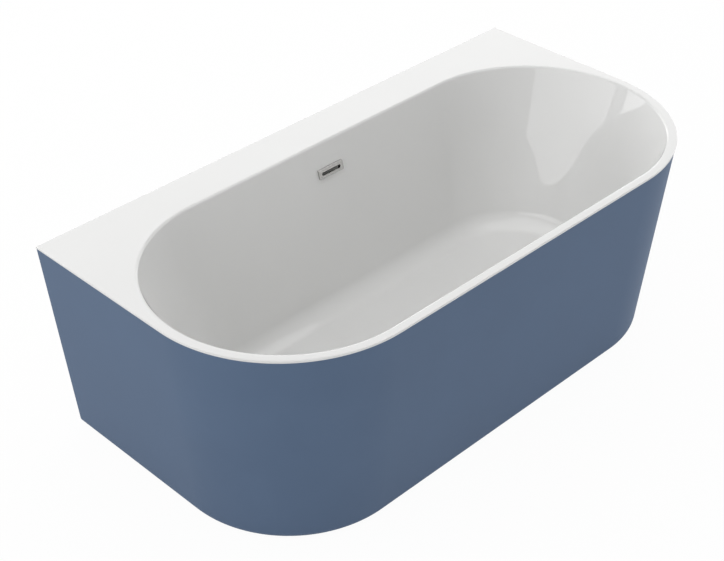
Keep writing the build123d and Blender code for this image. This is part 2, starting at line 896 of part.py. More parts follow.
def all_parts():
    parts = {
        "bath_shell": bath_shell(),
        "outer_skirt": outer_skirt(),
        "base_board": base_board(),
        "rear_rim_batten": rear_rim_batten(),
        "centre_leg_rail": centre_leg_rail(),
        "board_screws": board_screws(),
        "batten_screws": batten_screws(),
        "foot_inserts": foot_inserts(),
        "foot_lock_nuts": foot_lock_nuts(),
        "bracket_screws": bracket_screws(),
        "overflow_plate": overflow_plate(),
        "overflow_plate_gasket": overflow_plate_gasket(),
        "overflow_body_gasket": overflow_body_gasket(),
        "overflow_body": overflow_body(),
        "overflow_screws": overflow_screws(),
        "overflow_hose": overflow_hose(),
        "hose_nut_top": hose_nut_top(),
        "hose_nut_bottom": hose_nut_bottom(),
        "waste_flange": waste_flange(),
        "waste_top_seal": waste_top_seal(),
        "waste_bottom_seal": waste_bottom_seal(),
        "waste_body": waste_body(),
        "plug_cap": plug_cap(),
        "plug_seal": plug_seal(),
        "plug_stem": plug_stem(),
        "plug_cartridge": plug_cartridge(),
        "plug_spring": plug_spring(),
    }
    for name, side in sides.items():
        parts[f"leg_rail_{name}"] = leg_rail(side)
        parts[f"deck_post_{name}"] = deck_post(side)
        parts[f"front_bracket_{name}"] = front_bracket(side)
        parts[f"end_strap_{name}"] = end_strap(side)
        parts[f"front_block_{name}"] = front_block(side)
        parts[f"end_block_{name}"] = end_block(side)
    for name, (x, y) in feet.items():
        parts[f"foot_pad_{name}"] = foot_pad(x, y)
        parts[f"foot_stem_{name}"] = foot_stem(x, y)
    return parts


os.makedirs("parts", exist_ok=True)
for node, shape in all_parts().items():
    export_step(shape, f"parts/{node}.step")
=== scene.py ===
import math

import bmesh
import bpy
from mathutils import Matrix, Vector


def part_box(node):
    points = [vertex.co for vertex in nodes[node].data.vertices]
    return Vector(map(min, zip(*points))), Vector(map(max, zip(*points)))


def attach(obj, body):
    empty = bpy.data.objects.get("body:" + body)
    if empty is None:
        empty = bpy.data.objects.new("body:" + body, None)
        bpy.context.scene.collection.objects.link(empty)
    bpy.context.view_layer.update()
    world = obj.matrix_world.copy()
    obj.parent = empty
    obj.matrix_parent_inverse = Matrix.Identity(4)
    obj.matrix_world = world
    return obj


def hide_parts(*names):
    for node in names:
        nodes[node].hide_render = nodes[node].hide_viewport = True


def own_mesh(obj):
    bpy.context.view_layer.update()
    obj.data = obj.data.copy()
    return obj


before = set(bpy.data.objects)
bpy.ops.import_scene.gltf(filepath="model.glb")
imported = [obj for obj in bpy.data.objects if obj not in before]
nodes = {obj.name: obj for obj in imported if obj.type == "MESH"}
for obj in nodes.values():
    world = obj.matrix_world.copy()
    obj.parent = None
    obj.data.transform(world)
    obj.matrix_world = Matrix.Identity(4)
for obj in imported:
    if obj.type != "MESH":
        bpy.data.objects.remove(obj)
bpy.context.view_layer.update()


# Colours and shader nodes

def toLinear(hexColour):
    channels = [int(hexColour[place:place + 2], 16) / 255 for place in (1, 3, 5)]
    linear = [c / 12.92 if c <= 0.04045 else ((c + 0.055) / 1.055) ** 2.4 for c in channels]
    return (*linear, 1.0)


def addNode(material, kind, settings={}, links={}):
    # settings are the node's own options, its sockets, or the stops of a colour ramp
    node = material.node_tree.nodes.new("ShaderNode" + kind)
    for name, value in settings.items():
        if name == "stops":
            ramp = node.color_ramp
            for element, (place, colour) in zip(ramp.elements, value):
                element.position = place
                element.color = toLinear(colour)
        elif isinstance(name, str) and hasattr(node, name):
            setattr(node, name, value)
        else:
            node.inputs[name].default_value = value
    for name, source in links.items():
        material.node_tree.links.new(source, node.inputs[name])
    return node


def newMaterial(name):
    material = bpy.data.materials.new(name)
    material.use_nodes = True
    material.node_tree.nodes.clear()
    return material


def finishMaterial(material, surface):
    addNode(material, "OutputMaterial", links={"Surface": surface.outputs[0]})
    return material


# A pattern that repeats every given number of millimetres, for textures on Object coordinates
def everyMm(size):
    return 1000 / size


def addNoise(material, sizeMm, detail):
    place = addNode(material, "TexCoord")
    noise = addNode(material, "TexNoise", {"Scale": everyMm(sizeMm), "Detail": detail},
                    {"Vector": place.outputs["Object"]})
    return noise.outputs["Fac"]


def layFinish(material, look, colourBy, roughBy, heightBy, surface):
    # colour, roughness and fine relief, each led by one value of the pattern
    colour = addNode(material, "ValToRGB", {"stops": zip(look["spread"], look["colours"])}, {"Fac": colourBy})
    low, high = look["roughness"]
    rough = addNode(material, "MapRange", {"To Min": low, "To Max": high}, {"Value": roughBy})
    bump = addNode(material, "Bump", {"Strength": 1.0, "Distance": look["depth"]}, {"Height": heightBy})
    shader = addNode(material, "BsdfPrincipled", surface,
                     {"Base Color": colour.outputs["Color"], "Roughness": rough.outputs["Result"],
                      "Normal": bump.outputs["Normal"]})
    return finishMaterial(material, shader)


# Materials

acrylicLook = {
    "colours": ("#DCDCDB", "#DEDEDD"),
    "spread": (0.3, 0.7),
    "roughness": (0.02, 0.035),
    "cloudMm": 260,
    "rippleMm": 14,
    "depth": 0.00001,
    "surface": {"IOR": 1.49},
}


def vacuumFormedAcrylic():
    # Cast acrylic sheet, vacuum formed and polished: a hard clear gloss over an even milky white,
    # with the very faint long ripple that the forming leaves in its reflections
    look = acrylicLook
    material = newMaterial("vacuumFormedAcrylic")
    cloud = addNoise(material, look["cloudMm"], 2.0)
    ripple = addNoise(material, look["rippleMm"], 1.0)
    return layFinish(material, look, cloud, cloud, ripple, look["surface"])


lacquerLook = {
    "colours": ("#536680", "#566983"),
    "spread": (0.3, 0.7),
    "roughness": (0.56, 0.64),
    "cloudMm": 180,
    "peelMm": 2.5,
    "depth": 0.000015,
    "surface": {"IOR": 1.5, "Specular IOR Level": 0.22},
}


def mattLacquer():
    # Two-pack matt lacquer sprayed on the panel: an even blue-grey that hardly reflects,
    # with a fine orange peel that only shows where a light strikes along it
    look = lacquerLook
    material = newMaterial("mattLacquer")
    cloud = addNoise(material, look["cloudMm"], 3.0)
    peel = addNoise(material, look["peelMm"], 1.0)
    return layFinish(material, look, cloud, cloud, peel, look["surface"])


resinLook = {
    "colours": ("#C6C2AE", "#D9D6C6"),
    "spread": (0.0, 0.25),
    "roughness": (0.35, 0.6),
    "strandMm": 9,
    "lumpMm": 35,
    "depth": 0.0006,
    "surface": {"IOR": 1.54},
}


def choppedStrandResin():
    # Polyester resin rolled over chopped glass strand on the hidden side: dull straw white,
    # with short pale fibres lying every way and a lumpy, half shiny skin
    look = resinLook
    material = newMaterial("choppedStrandResin")
    place = addNode(material, "TexCoord")
    strand = addNode(material, "TexVoronoi",
                     {"feature": "DISTANCE_TO_EDGE", "Scale": everyMm(look["strandMm"])},
                     {"Vector": place.outputs["Object"]})
    lump = addNoise(material, look["lumpMm"], 4.0)
    height = addNode(material, "Math", {"operation": "ADD"}, {0: strand.outputs["Distance"], 1: lump})
    return layFinish(material, look, strand.outputs["Distance"], lump, height.outputs["Value"],
                     look["surface"])


timberLook = {
    "colours": ("#D9BC8C", "#B98F58"),
    "spread": (0.4, 0.62),
    "ringMm": 9,
    "stretch": 14,
    "roughness": (0.6, 0.75),
    "depth": 0.0003,
    "surface": {"IOR": 1.45},
}


def sawnPine(name, alongY=False):
    # Sawn softwood: straight grain along the length, pale early wood and darker late wood,
    # dry and a little furry from the saw
    look = timberLook
    material = newMaterial(name)
    place = addNode(material, "TexCoord")
    along = 1 / look["stretch"]
    stretch = (1, along, 1) if alongY else (along, 1, 1)
    grain = addNode(material, "Mapping", {"Scale": stretch}, {"Vector": place.outputs["Object"]})
    rings = addNode(material, "TexNoise",
                    {"Scale": everyMm(look["ringMm"]), "Detail": 5.0, "Distortion": 0.6},
                    {"Vector": grain.outputs["Vector"]}).outputs["Fac"]
    return layFinish(material, look, rings, rings, rings, look["surface"])


# Plainer finishes share one recipe: two close colours, a roughness range and a grain in millimetres
finishes = {
    # Zinc electroplate on pressed steel: a cool bright metal, faintly clouded
    "brightZincPlate": {"colours": ("#BFC3C6", "#D2D5D7"), "metallic": 1.0, "roughness": (0.24, 0.38),
                        "grainMm": 12, "depth": 0.00003},
    # Polyester powder coat on tube: flat mid grey with a fine pebbled skin
    "greyPowderCoat": {"colours": ("#94989B", "#9CA0A3"), "metallic": 0.0, "roughness": (0.42, 0.55),
                       "grainMm": 1.6, "depth": 0.00005},
    # Chrome plate on zinc casting: a near mirror, with a trace of wiping haze
    "polishedChrome": {"colours": ("#BBBAB8", "#C2C1BF"), "metallic": 1.0, "roughness": (0.04, 0.09),
                       "grainMm": 40, "depth": 0.000003},
    # EPDM rubber mouldings: near black, dull, slightly bloomed
    "mouldedRubber": {"colours": ("#18181A", "#232325"), "metallic": 0.0, "roughness": (0.6, 0.75),
                      "grainMm": 3, "depth": 0.00004},
    # Injection moulded polypropylene fittings: pale warm grey with a spark-eroded satin
    "mouldedPolypropylene": {"colours": ("#D4D4D0", "#DCDCD9"), "metallic": 0.0, "roughness": (0.38, 0.48),
                             "grainMm": 0.9, "depth": 0.00002},
    # Polypropylene overflow moulding, coloured near black as painted shade for the dark chamber behind the
    # slot, so that its slot looks black from the bath
    "paintedShadePolypropylene": {"colours": ("#101113", "#151618"), "metallic": 0.0, "roughness": (0.4, 0.5),
                          "grainMm": 0.9, "depth": 0.00002},
    # Corrugated hose in soft polypropylene: the same grey, a little glossier and streaked along its ribs
    "corrugatedHose": {"colours": ("#D8D8D4", "#E2E2DE"), "metallic": 0.0, "roughness": (0.3, 0.42),
                       "grainMm": 6, "depth": 0.00002},
    # Glass-filled nylon feet: black with a dry, scuffed skin
    "glassFilledNylon": {"colours": ("#15161A", "#202226"), "metallic": 0.0, "roughness": (0.45, 0.65),
                         "grainMm": 2, "depth": 0.00005},
    # Turned brass: warm yellow metal with fine tool marks
    "turnedBrass": {"colours": ("#B8954A", "#CDAA5C"), "metallic": 1.0, "roughness": (0.2, 0.35),
                    "grainMm": 0.8, "depth": 0.00001},
    # Stainless spring wire: grey metal, drawn and slightly dull
    "springWire": {"colours": ("#A9ABAD", "#BABCBE"), "metallic": 1.0, "roughness": (0.22, 0.34),
                   "grainMm": 1, "depth": 0.000005},
}


def shopFinish(name):
    look = dict(finishes[name], spread=(0.35, 0.65))
    material = newMaterial(name)
    grain = addNoise(material, look["grainMm"], 3.0)
    return layFinish(material, look, grain, grain, grain, {"Metallic": look["metallic"]})


acrylic = vacuumFormedAcrylic()
lacquer = mattLacquer()
resin = choppedStrandResin()
pineAlongX = sawnPine("sawnPineAlongX")
pineAlongY = sawnPine("sawnPineAlongY", alongY=True)
shop = {name: shopFinish(name) for name in finishes}
slotMaterials = {
    "white_acrylic": [acrylic, resin],
    "blue_skirt": [lacquer, resin],
    "timber": [pineAlongX],
    "frame_steel": [shop["greyPowderCoat"]],
    "zinc_steel": [shop["brightZincPlate"]],
    "chrome": [shop["polishedChrome"]],
    "black_plastic": [shop["glassFilledNylon"]],
    "spring_steel": [shop["springWire"]],
}
print("materials made", len(bpy.data.materials))


# Mesh tools: everything below acts on the active object through Blender's own operators

def deselectAll():
    if bpy.context.object and bpy.context.object.mode != "OBJECT":
        bpy.ops.object.mode_set(mode="OBJECT")
    bpy.ops.object.select_all(action="DESELECT")


def startEditing(mode):
    bpy.ops.object.transform_apply(location=True, rotation=True, scale=True)
    bpy.ops.object.mode_set(mode="EDIT")
    bpy.ops.mesh.select_mode(type=mode)


def editAgain(mode):
    bpy.ops.object.mode_set(mode="EDIT")
    bpy.ops.mesh.select_mode(type=mode)


def stopEditing():
    bpy.ops.object.mode_set(mode="OBJECT")
    return bpy.context.object


def turnOutwards():
    bpy.ops.mesh.select_all(action="SELECT")
    bpy.ops.mesh.normals_make_consistent(inside=False)


def choose(kind, test):
    # selects the verts, edges or faces that pass the test, and nothing else
    mesh = bmesh.from_edit_mesh(bpy.context.edit_object.data)
    for group in (mesh.verts, mesh.edges, mesh.faces):
        for item in group:
            item.select_set(False)
    for item in getattr(mesh, kind):
        if test(item):
            item.select_set(True)
    mesh.select_flush_mode()
    bmesh.update_edit_mesh(bpy.context.edit_object.data)


def chosenPoints():
    mesh = bmesh.from_edit_mesh(bpy.context.edit_object.data)
    return {vert.index for vert in mesh.verts if vert.select}


def applyModifier(piece, kind, settings):
    modifier = piece.modifiers.new(kind, kind)
    for name, value in settings.items():
        setattr(modifier, name, value)
    deselectAll()
    bpy.context.view_layer.objects.active = piece
    piece.select_set(True)
    bpy.ops.object.modifier_apply(modifier=modifier.name)


def cutWith(piece, cutter):
    applyModifier(piece, "BOOLEAN", {"object": cutter, "operation": "DIFFERENCE", "solver": "EXACT"})
    bpy.data.objects.remove(cutter)


def smoothFaces(piece, degrees=35):
    deselectAll()
    bpy.context.view_layer.objects.active = piece
    piece.select_set(True)
    bpy.ops.object.shade_smooth_by_angle(angle=math.radians(degrees), keep_sharp_edges=False)
    applyModifier(piece, "WEIGHTED_NORMAL", {"keep_sharp": True, "weight": 100})


def joinPieces(pieces):
    deselectAll()
    for piece in pieces:
        piece.select_set(True)
    bpy.context.view_layer.objects.active = pieces[0]
    bpy.ops.object.join()
    return bpy.context.object


def giveMaterials(piece, materials):
    piece.data.materials.clear()
    for material in materials:
        piece.data.materials.append(material)


remodelledNodes = set()


def settle(piece, name, node, slot, body="root"):
    # names a finished piece, gives it its slot's materials and puts it in place of its CAD node
    piece.name = name
    if len(piece.data.materials) != len(slotMaterials[slot]):
        giveMaterials(piece, slotMaterials[slot])
    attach(piece, body)
    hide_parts(node)
    remodelledNodes.add(node)
    print("made", name, len(piece.data.polygons), "faces")


# Bath shell

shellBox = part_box("bath_shell")
halfLength = shellBox[1].x
halfWidth = shellBox[1].y
deckTop = shellBox[1].z

shellSizes = {
    "cornerRadius": 0.365,
    "cornerSteps": 48,
    "frontRim": 0.024,
    "endRim": 0.027,
    "backDeck": 0.121,
    "deckBand": 0.012,
    "floorHeight": 0.154,
    "floorHalfLength": 0.597,
    "floorRadius": 0.213,
    "floorBendWidth": 0.0717,
    "floorBendSteps": 16,
    "rimBendWidth": 0.0084,
    "rimBendSteps": 8,
    "wall": 0.006,
    "lipRound": 0.0015,
    "ringPoints": 192,
}

basinY = (shellSizes["frontRim"] - shellSizes["backDeck"]) / 2
basinRadius = halfWidth - (shellSizes["frontRim"] + shellSizes["backDeck"]) / 2
basinHalfLength = halfLength - shellSizes["endRim"]


def addStadium(size, radius, y, z, points):
    # a ring of two half circles with straight sides, from one circle pulled apart
    bpy.ops.mesh.primitive_circle_add(vertices=points, radius=radius, location=(0, y, z),
                                      rotation=(0, 0, math.pi / points))
    startEditing("VERT")
    for side in (-1, 1):
        choose("verts", lambda vert: side * vert.co.x > 0)
        bpy.ops.transform.translate(value=(side * (size - radius), 0, 0))
    choose("verts", lambda vert: True)


def resizeStadium(before, after, y, z):
    # the chosen ring goes from one (half length, radius) to another
    ring = chosenPoints()
    for side in (-1, 1):
        choose("verts", lambda vert: vert.index in ring and side * vert.co.x > 0)
        middle = (side * (before[0] - before[1]), y, z)
        factor = after[1] / before[1]
        bpy.ops.transform.resize(value=(factor, factor, 1), center_override=middle)
        shift = (after[0] - after[1]) - (before[0] - before[1])
        bpy.ops.transform.translate(value=(side * shift, 0, 0))
    choose("verts", lambda vert: vert.index in ring)


def extrudeBy(x, y, z):
    bpy.ops.mesh.extrude_region_move(TRANSFORM_OT_translate={"value": (x, y, z)})


def addOutline(inset, z):
    # the bath's own outline: square corners at the wall, round corners at the front
    middle = (0, inset / 2, z)
    bpy.ops.mesh.primitive_plane_add(size=1, location=middle)
    startEditing("VERT")
    choose("verts", lambda vert: True)
    bpy.ops.transform.resize(value=(2 * (halfLength - inset), 2 * halfWidth - inset, 1),
                             center_override=middle)
    choose("verts", lambda vert: vert.co.y < 0)
    bpy.ops.mesh.bevel(offset=shellSizes["cornerRadius"] - inset, segments=shellSizes["cornerSteps"],
                       affect="VERTICES")
    bpy.ops.mesh.select_all(action="SELECT")
    bpy.ops.mesh.delete(type="ONLY_FACE")
    choose("verts", lambda vert: True)


def onRing(edge, z):
    return all(abs(vert.co.z - z) < 1e-5 for vert in edge.verts)


def shellBody():
    sizes = shellSizes
    deselectAll()
    addOutline(0, deckTop)
    outline = stopEditing()
    deselectAll()
    band = sizes["deckBand"]
    rim = (basinHalfLength, basinRadius)
    foot = (sizes["floorHalfLength"], sizes["floorRadius"])
    addStadium(rim[0] + band, rim[1] + band, basinY, deckTop, sizes["ringPoints"])
    extrudeBy(0, 0, 0)
    resizeStadium((rim[0] + band, rim[1] + band), rim, basinY, deckTop)
    extrudeBy(0, 0, sizes["floorHeight"] - deckTop)
    resizeStadium(rim, foot, basinY, sizes["floorHeight"])
    bpy.ops.mesh.edge_face_add()
    basin = stopEditing()
    shell = joinPieces([outline, basin])
    editAgain("EDGE")
    choose("edges", lambda edge: len(edge.link_faces) < 2 and onRing(edge, deckTop))
    bpy.ops.mesh.fill(use_beauty=True)
    turnOutwards()
    choose("edges", lambda edge: onRing(edge, sizes["floorHeight"]))
    bpy.ops.mesh.bevel(offset=sizes["floorBendWidth"], offset_type="WIDTH", segments=sizes["floorBendSteps"])
    choose("edges", isRimEdge)
    bpy.ops.mesh.bevel(offset=sizes["rimBendWidth"], offset_type="WIDTH", segments=sizes["rimBendSteps"])
    return stopEditing()


def isRimEdge(edge):
    # the ring where the flat deck meets the basin's wall
    return onRing(edge, deckTop) and any(abs(face.normal.z) < 0.9 for face in edge.link_faces)


def faceUpwards(piece):
    # the open sheet's flat deck has to face up before it gets its thickness
    editAgain("FACE")
    mesh = bmesh.from_edit_mesh(piece.data)
    deckFaces = [face for face in mesh.faces if abs(face.calc_center_median().z - deckTop) < 1e-6]
    if deckFaces[0].normal.z < 0:
        bpy.ops.mesh.select_all(action="SELECT")
        bpy.ops.mesh.flip_normals()
    bpy.ops.object.mode_set(mode="OBJECT")


def bathShell():
    sizes = shellSizes
    shell = shellBody()
    faceUpwards(shell)
    giveMaterials(shell, slotMaterials["white_acrylic"])
    applyModifier(shell, "SOLIDIFY", {"thickness": sizes["wall"], "offset": -1, "use_even_offset": True,
                                      "material_offset": 1, "material_offset_rim": 0})
    editAgain("EDGE")
    choose("edges", isLipEdge)
    bpy.ops.mesh.bevel(offset=sizes["lipRound"], segments=4)
    stopEditing()
    return shell


def isLipEdge(edge):
    # the deck's outer edges, above and below its outer face
    flat = [face for face in edge.link_faces if abs(face.normal.z) > 0.9]
    upright = [face for face in edge.link_faces if abs(face.normal.z) < 0.1]
    onDeck = all(vert.co.z > deckTop - 2 * shellSizes["wall"] for vert in edge.verts)
    return onDeck and len(flat) == 1 and len(upright) == 1


wasteSizes = {"recess": 0.038, "recessDepth": 0.003, "hole": 0.026, "points": 96}


def cutWaste(shell):
    floorHeight = shellSizes["floorHeight"]
    depth = wasteSizes["recessDepth"]
    for radius, bottom in ((wasteSizes["recess"], floorHeight - depth), (wasteSizes["hole"], 0.1)):
        top = floorHeight + 0.05
        deselectAll()
        bpy.ops.mesh.primitive_cylinder_add(vertices=wasteSizes["points"], radius=radius, depth=top - bottom,
                                            location=(0, basinY, (top + bottom) / 2))
        cutWith(shell, bpy.context.object)


passageSizes = {"width": 0.056, "height": 0.010, "reach": 0.06, "z": 0.497}
wallLean = (basinRadius - shellSizes["floorRadius"]) / (deckTop - shellSizes["floorHeight"])
overflowY = basinY + basinRadius - (deckTop - passageSizes["z"]) * wallLean
overflowPoint = Vector((0, overflowY, passageSizes["z"]))


def slotCutter(width, height, reach, points):
    # a long bar with round ends, standing upright, with its faces outwards
    deselectAll()
    addStadium(width / 2, height / 2, 0, -reach, points)
    bpy.ops.mesh.edge_face_add()
    extrudeBy(0, 0, 2 * reach)
    turnOutwards()
    return stopEditing()


def cutOverflow(shell):
    cutter = slotCutter(passageSizes["width"], passageSizes["height"], passageSizes["reach"], 32)
    cutter.data.transform(Matrix.Translation(overflowPoint) @ Matrix.Rotation(math.pi / 2, 4, "X"))
    cutWith(shell, cutter)


shellPiece = bathShell()
cutWaste(shellPiece)
cutOverflow(shellPiece)
smoothFaces(shellPiece)
settle(shellPiece, "bathShell", "bath_shell", "white_acrylic")


# Shop tools for the hardware

def mm(*sizes):
    return tuple(size / 1000 for size in sizes)


def addBlock(low, high):
    # a block between two corners, in millimetres
    deselectAll()
    middle = [(a + b) / 2000 for a, b in zip(low, high)]
    bpy.ops.mesh.primitive_cube_add(size=1, location=middle,
                                    scale=[(b - a) / 1000 for a, b in zip(low, high)])
    bpy.ops.object.transform_apply(location=True, rotation=True, scale=True)
    return bpy.context.object


def addRod(radius, bottom, top, x, y, points=32):
    deselectAll()
    bpy.ops.mesh.primitive_cylinder_add(vertices=points, radius=radius / 1000, depth=(top - bottom) / 1000,
                                        location=mm(x, y, (bottom + top) / 2))
    bpy.ops.object.transform_apply(location=True, rotation=True, scale=True)
    return bpy.context.object


def easeEdges(piece, size, segments=2, degrees=40):
    applyModifier(piece, "BEVEL", {"width": size / 1000, "segments": segments, "limit_method": "ANGLE",
                                   "angle_limit": math.radians(degrees)})


def startPoint(x, y, z):
    # a single point to draw a profile from
    deselectAll()
    bpy.ops.mesh.primitive_plane_add(size=0.01)
    startEditing("VERT")
    choose("verts", lambda vert: vert.index > 0)
    bpy.ops.mesh.delete(type="VERT")
    choose("verts", lambda vert: True)
    bpy.ops.transform.translate(value=(x + 0.005, y + 0.005, z))


def drawProfile(points):
    # (radius, height) points in millimetres, joined one after the other
    points = [mm(*point) for point in points]
    startPoint(points[0][0], 0, points[0][1])
    for before, after in zip(points, points[1:]):
        extrudeBy(after[0] - before[0], 0, after[1] - before[1])
    bpy.ops.mesh.select_all(action="SELECT")


def turnOnLathe(points, x=0, y=0, steps=64):
    drawProfile(points)
    bpy.ops.mesh.spin(steps=steps, angle=math.tau, center=(0, 0, 0), axis=(0, 0, 1))
    bpy.ops.mesh.select_all(action="SELECT")
    bpy.ops.mesh.remove_doubles(threshold=0.00001)
    bpy.ops.mesh.normals_make_consistent(inside=False)
    bpy.ops.transform.translate(value=mm(x, y, 0))
    return stopEditing()


def placedCopy(piece, matrix):
    copy = piece.copy()
    copy.data = piece.data.copy()
    copy.data.transform(matrix)
    bpy.context.scene.collection.objects.link(copy)
    return copy


def copyTo(piece, matrices):
    # one copy of the piece for each place, each with its own mesh, joined into one
    copies = [placedCopy(piece, matrix) for matrix in matrices]
    bpy.data.objects.remove(piece)
    return joinPieces(copies)


def drill(piece, holes):
    # holes are (radius, low corner height, high corner height, x, y) in millimetres
    for hole in holes:
        cutWith(piece, addRod(*hole))


# Outer skirt

skirtSizes = {
    "recess": 0.0015,
    "draft": 0.054,
    "thickness": 0.005,
    "bottom": 0.004,
    "bottomRound": 0.022,
    "bottomRoundSteps": 10,
    "topFlange": 0.012,
    "bottomFlange": 0.030,
    "rearFlange": 0.025,
    "straightEdge": 0.3,
}
cornerX = halfLength - shellSizes["cornerRadius"]
cornerY = -halfWidth + shellSizes["cornerRadius"]
skirtTop = deckTop - shellSizes["wall"]


def pullIn(distance, radius):
    # the chosen outline moves inwards at the front and the ends, and stays on the wall
    ring = chosenPoints()
    nearly = 0.0001
    for side in (-1, 1):
        choose("verts", lambda vert: vert.index in ring and side * vert.co.x > cornerX - nearly
               and vert.co.y < cornerY + nearly)
        factor = (radius - distance) / radius
        bpy.ops.transform.resize(value=(factor, factor, 1), center_override=(side * cornerX, cornerY, 0))
        choose("verts", lambda vert: vert.index in ring and side * vert.co.x > 0
               and vert.co.y > cornerY + nearly)
        bpy.ops.transform.translate(value=(-side * distance, 0, 0))
    choose("verts", lambda vert: vert.index in ring)


def atWall(edge):
    return all(vert.co.y > halfWidth - 0.0001 for vert in edge.verts)


def outerSkirt():
    sizes = skirtSizes
    deselectAll()
    addOutline(sizes["recess"], skirtTop)
    radius = shellSizes["cornerRadius"] - sizes["recess"]
    extrudeBy(0, 0, sizes["bottom"] - skirtTop)
    pullIn(sizes["draft"], radius)
    extrudeBy(0, 0, 0)
    pullIn(sizes["bottomFlange"], radius - sizes["draft"])
    bpy.ops.mesh.select_mode(type="FACE")
    choose("faces", lambda face: all(vert.co.y > halfWidth - 0.0001 for vert in face.verts))
    bpy.ops.mesh.delete(type="FACE")
    bpy.ops.mesh.select_mode(type="EDGE")
    choose("edges", lambda edge: onRing(edge, sizes["bottom"]) and len(edge.link_faces) == 2
           and any(abs(face.normal.z) < 0.5 for face in edge.link_faces))
    bpy.ops.mesh.bevel(offset=sizes["bottomRound"], segments=sizes["bottomRoundSteps"])
    for side in (-1, 1):
        # only the straight upright edge folds in, not the round below it
        choose("edges", lambda edge: atWall(edge) and edge.calc_length() > sizes["straightEdge"]
               and all(side * vert.co.x > 0 for vert in edge.verts))
        extrudeBy(-side * sizes["rearFlange"], 0, 0)
    choose("edges", lambda edge: onRing(edge, skirtTop) and len(edge.link_faces) == 1 and not atWall(edge))
    extrudeBy(0, 0, 0)
    pullIn(sizes["topFlange"], radius)
    turnOutwards()
    mesh = bmesh.from_edit_mesh(bpy.context.edit_object.data)
    front = min(mesh.faces, key=lambda face: face.calc_center_median().y)
    if front.normal.y > 0:
        bpy.ops.mesh.flip_normals()
    skirt = stopEditing()
    giveMaterials(skirt, slotMaterials["blue_skirt"])
    applyModifier(skirt, "SOLIDIFY", {"thickness": sizes["thickness"], "offset": -1, "use_even_offset": True,
                                      "material_offset": 1, "material_offset_rim": 0})
    return skirt


skirtPiece = outerSkirt()
smoothFaces(skirtPiece)
settle(skirtPiece, "outerSkirt", "outer_skirt", "blue_skirt")


# Overflow plate: a chrome bar with one slot, on two posts that reach through the wall

plateSizes = {"width": 84, "height": 26, "under": 1, "thickness": 5, "corner": 2, "round": 1.2,
              "slotWidth": 65, "slotHeight": 8, "slotUp": 0.5, "slotEdge": 0.6,
              "postRadius": 3, "boreRadius": 1.75, "postDepth": 12, "pitch": 72}
wallTilt = math.atan(wallLean)
# the plate's own axes: along the bath, up the wall, out of the wall
plateAxes = Matrix.Translation(overflowPoint) @ Matrix.Rotation(math.pi / 2 - wallTilt, 4, "X")


def overflowPlate():
    sizes = plateSizes
    top = sizes["under"] + sizes["thickness"]
    plate = addBlock((-sizes["width"] / 2, -sizes["height"] / 2, sizes["under"]),
                     (sizes["width"] / 2, sizes["height"] / 2, top))
    editAgain("EDGE")
    choose("edges", lambda edge: abs(edge.verts[0].co.z - edge.verts[1].co.z) > 0.001)
    bpy.ops.mesh.bevel(offset=sizes["corner"] / 1000, segments=6)
    choose("edges", lambda edge: onRing(edge, top / 1000))
    bpy.ops.mesh.bevel(offset=sizes["round"] / 1000, segments=5)
    stopEditing()
    posts = [addRod(sizes["postRadius"], -sizes["postDepth"], sizes["under"], side * sizes["pitch"] / 2, 0)
             for side in (-1, 1)]
    for side, post in zip((-1, 1), posts):
        drill(post, [(sizes["boreRadius"], -sizes["postDepth"] - 1, 0, side * sizes["pitch"] / 2, 0)])
    slot = slotCutter(sizes["slotWidth"] / 1000, sizes["slotHeight"] / 1000, 0.03, 48)
    slot.data.transform(Matrix.Translation(mm(0, sizes["slotUp"], 0)) @ Matrix.Rotation(wallTilt, 4, "X"))
    cutWith(plate, slot)
    deselectAll()
    bpy.context.view_layer.objects.active = plate
    plate.select_set(True)
    editAgain("EDGE")
    inside = sizes["slotWidth"] / 2000 + 0.001
    choose("edges", lambda edge: onRing(edge, top / 1000)
           and all(abs(vert.co.x) < inside and abs(vert.co.y) < 0.005 for vert in edge.verts))
    bpy.ops.mesh.bevel(offset=sizes["slotEdge"] / 1000, segments=4)
    stopEditing()
    plate = joinPieces([plate, *posts])
    plate.data.transform(plateAxes)
    return plate


platePiece = overflowPlate()
smoothFaces(platePiece)
settle(platePiece, "overflowPlate", "overflow_plate", "chrome")


# Waste: chrome flange with its strainer, and the crowned cap of the plug

wasteY = basinY * 1000
flangeSizes = {"rim": 36, "throat": 20.5, "tube": 24, "bottom": 118, "seat": 152.5, "top": 155.5,
               "round": 1.2, "bossRadius": 12, "bossBore": 9, "strainerBottom": 126, "strainerTop": 134,
               "armWidth": 4}
capSizes = {"radius": 31, "bottom": 165.7, "edge": 169.2, "crown": 171.7, "round": 1, "crownSteps": 8}


def roundCorner(x, z, size, towards, steps=4):
    # points of a quarter round at an outer corner; towards is the side that the material is on
    sideX, sideZ = towards
    places = [math.pi / 2 * step / steps for step in range(steps + 1)]
    return [(x + sideX * size * (1 - math.sin(turn)), z + sideZ * size * (1 - math.cos(turn)))
            for turn in places]


